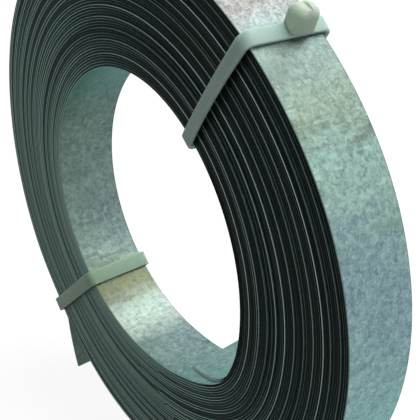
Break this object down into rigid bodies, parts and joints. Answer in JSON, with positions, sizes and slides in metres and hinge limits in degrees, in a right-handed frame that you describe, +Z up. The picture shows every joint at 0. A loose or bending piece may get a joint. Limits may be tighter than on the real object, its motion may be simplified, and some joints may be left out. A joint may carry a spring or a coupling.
{
  "type": "roll of steel strapping",
  "caption": "Flat roll of galvanised steel strap, wound round an open bore and held by nylon cable ties, with both strap ends free.",
  "frame": {"origin": "on the floor under the middle of the roll's rim, halfway along the strap's width", "axes": "+Y along the roll's axis, away from the end that the picture shows; +X to the right as seen from that end; +Z up"},
  "size_m": [0.169, 0.0303, 0.1689],
  "materials": {
    "galvanised_steel": "galvanised, dull, with a fine mottled spangle",
    "natural_nylon": "natural nylon, milky and slightly translucent"
  },
  "bodies": {
    "root": {"strap_roll": "galvanised_steel", "upper_cable_tie": "natural_nylon", "lower_cable_tie": "natural_nylon"}
  },
  "joints": []
}
